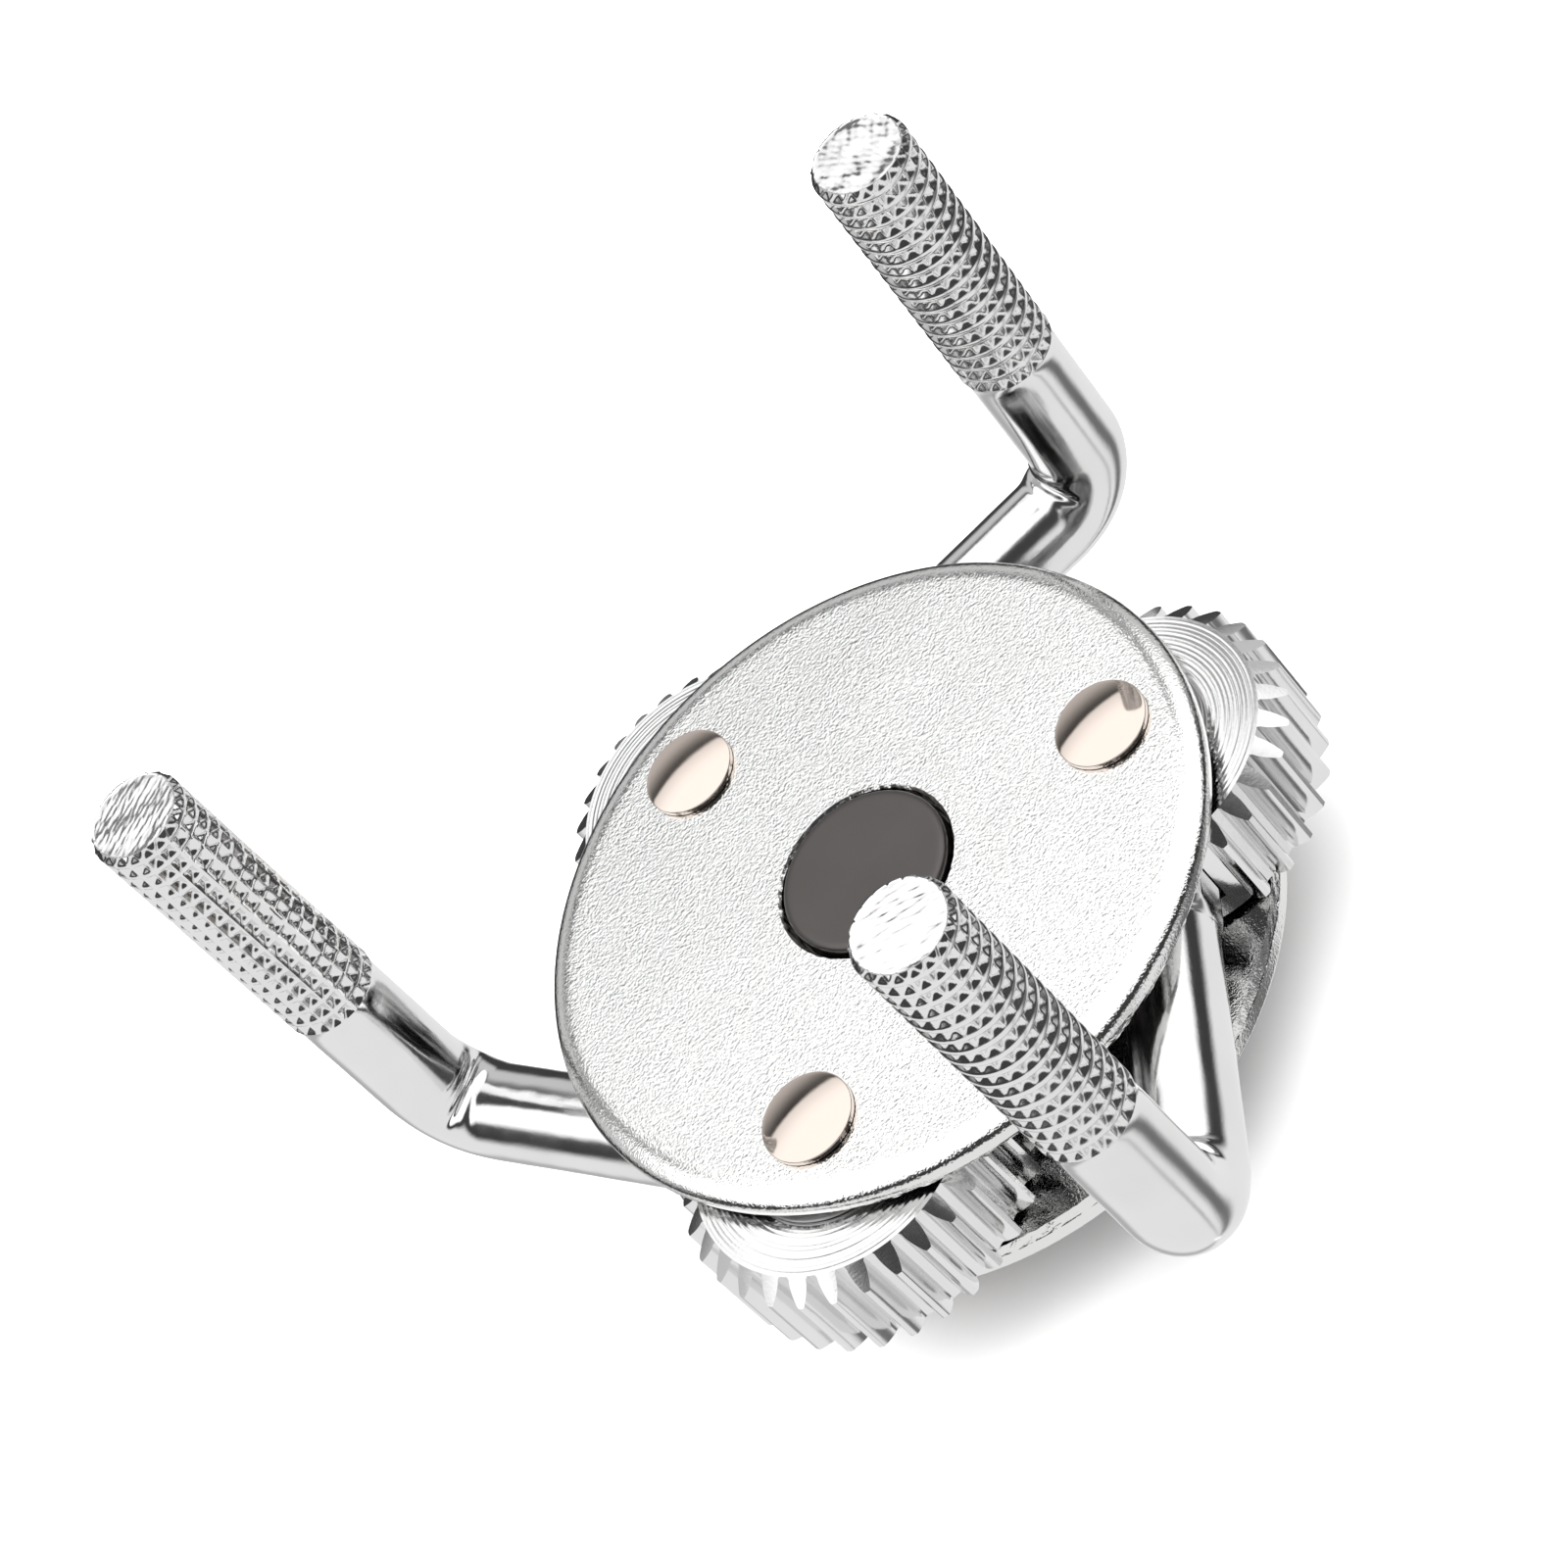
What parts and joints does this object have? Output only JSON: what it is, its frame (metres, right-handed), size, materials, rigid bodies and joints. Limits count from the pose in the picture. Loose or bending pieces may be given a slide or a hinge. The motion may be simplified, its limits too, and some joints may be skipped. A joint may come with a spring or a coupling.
{
  "type": "oil filter wrench",
  "caption": "Round riveted plates carry bent, knurled jaws on planet gears that a central drive gear swings together, turned by a rear hex or square socket to grip oil filters.",
  "frame": {"origin": "centre of the drive gear hub's front end face, on the tool's axis", "axes": "+Z along the tool's axis towards the jaw tips, +X from the axis to pivot 1"},
  "size_m": [0.0953, 0.0927, 0.0712],
  "materials": {
    "plate_nickel": "satin plated sheet with a fine blasted texture",
    "chrome": "bright chrome plate over drawn bar and cut gears",
    "rivet_nickel": "polished warm nickel",
    "black_oxide": "black oxide on turned steel",
    "plain_steel": "plain turned and ground steel, lightly oiled"
  },
  "bodies": {
    "frame": {"front_plate": "plate_nickel", "back_plate": "plate_nickel", "pivot_rivet_1": "rivet_nickel", "pivot_rivet_2": "rivet_nickel", "pivot_rivet_3": "rivet_nickel", "pivot_sleeve_1": "plain_steel", "pivot_sleeve_2": "plain_steel", "pivot_sleeve_3": "plain_steel", "front_washer_1": "plain_steel", "front_washer_2": "plain_steel", "front_washer_3": "plain_steel", "rear_washer_1": "plain_steel", "rear_washer_2": "plain_steel", "rear_washer_3": "plain_steel"},
    "drive": {"sun_gear": "black_oxide", "drive_hex": "black_oxide"},
    "jaw_1": {"planet_gear_1": "chrome", "jaw_arm_1": "chrome"},
    "jaw_2": {"planet_gear_2": "chrome", "jaw_arm_2": "chrome"},
    "jaw_3": {"planet_gear_3": "chrome", "jaw_arm_3": "chrome"}
  },
  "joints": [
    {"name": "drive_spin", "type": "hinge", "parent": "frame", "child": "drive", "pos_m": [0, 0, 0], "axis": [0, 0, 1], "range_deg": [-318.57, 25.71]},
    {"name": "jaw_1_swing", "type": "hinge", "parent": "frame", "child": "jaw_1", "pos_m": [0.0255, 0, 0], "axis": [0, 0, 1], "range_deg": [-18, 223]},
    {"name": "jaw_2_swing", "type": "hinge", "parent": "frame", "child": "jaw_2", "pos_m": [-0.01275, 0.02208, 0], "axis": [0, 0, 1], "range_deg": [-18, 223]},
    {"name": "jaw_3_swing", "type": "hinge", "parent": "frame", "child": "jaw_3", "pos_m": [-0.01275, -0.02208, 0], "axis": [0, 0, 1], "range_deg": [-18, 223]}
  ],
  "couplings": [
    {"joint": "jaw_1_swing", "follows": "drive_spin", "ratio": -0.7},
    {"joint": "jaw_2_swing", "follows": "drive_spin", "ratio": -0.7},
    {"joint": "jaw_3_swing", "follows": "drive_spin", "ratio": -0.7}
  ]
}
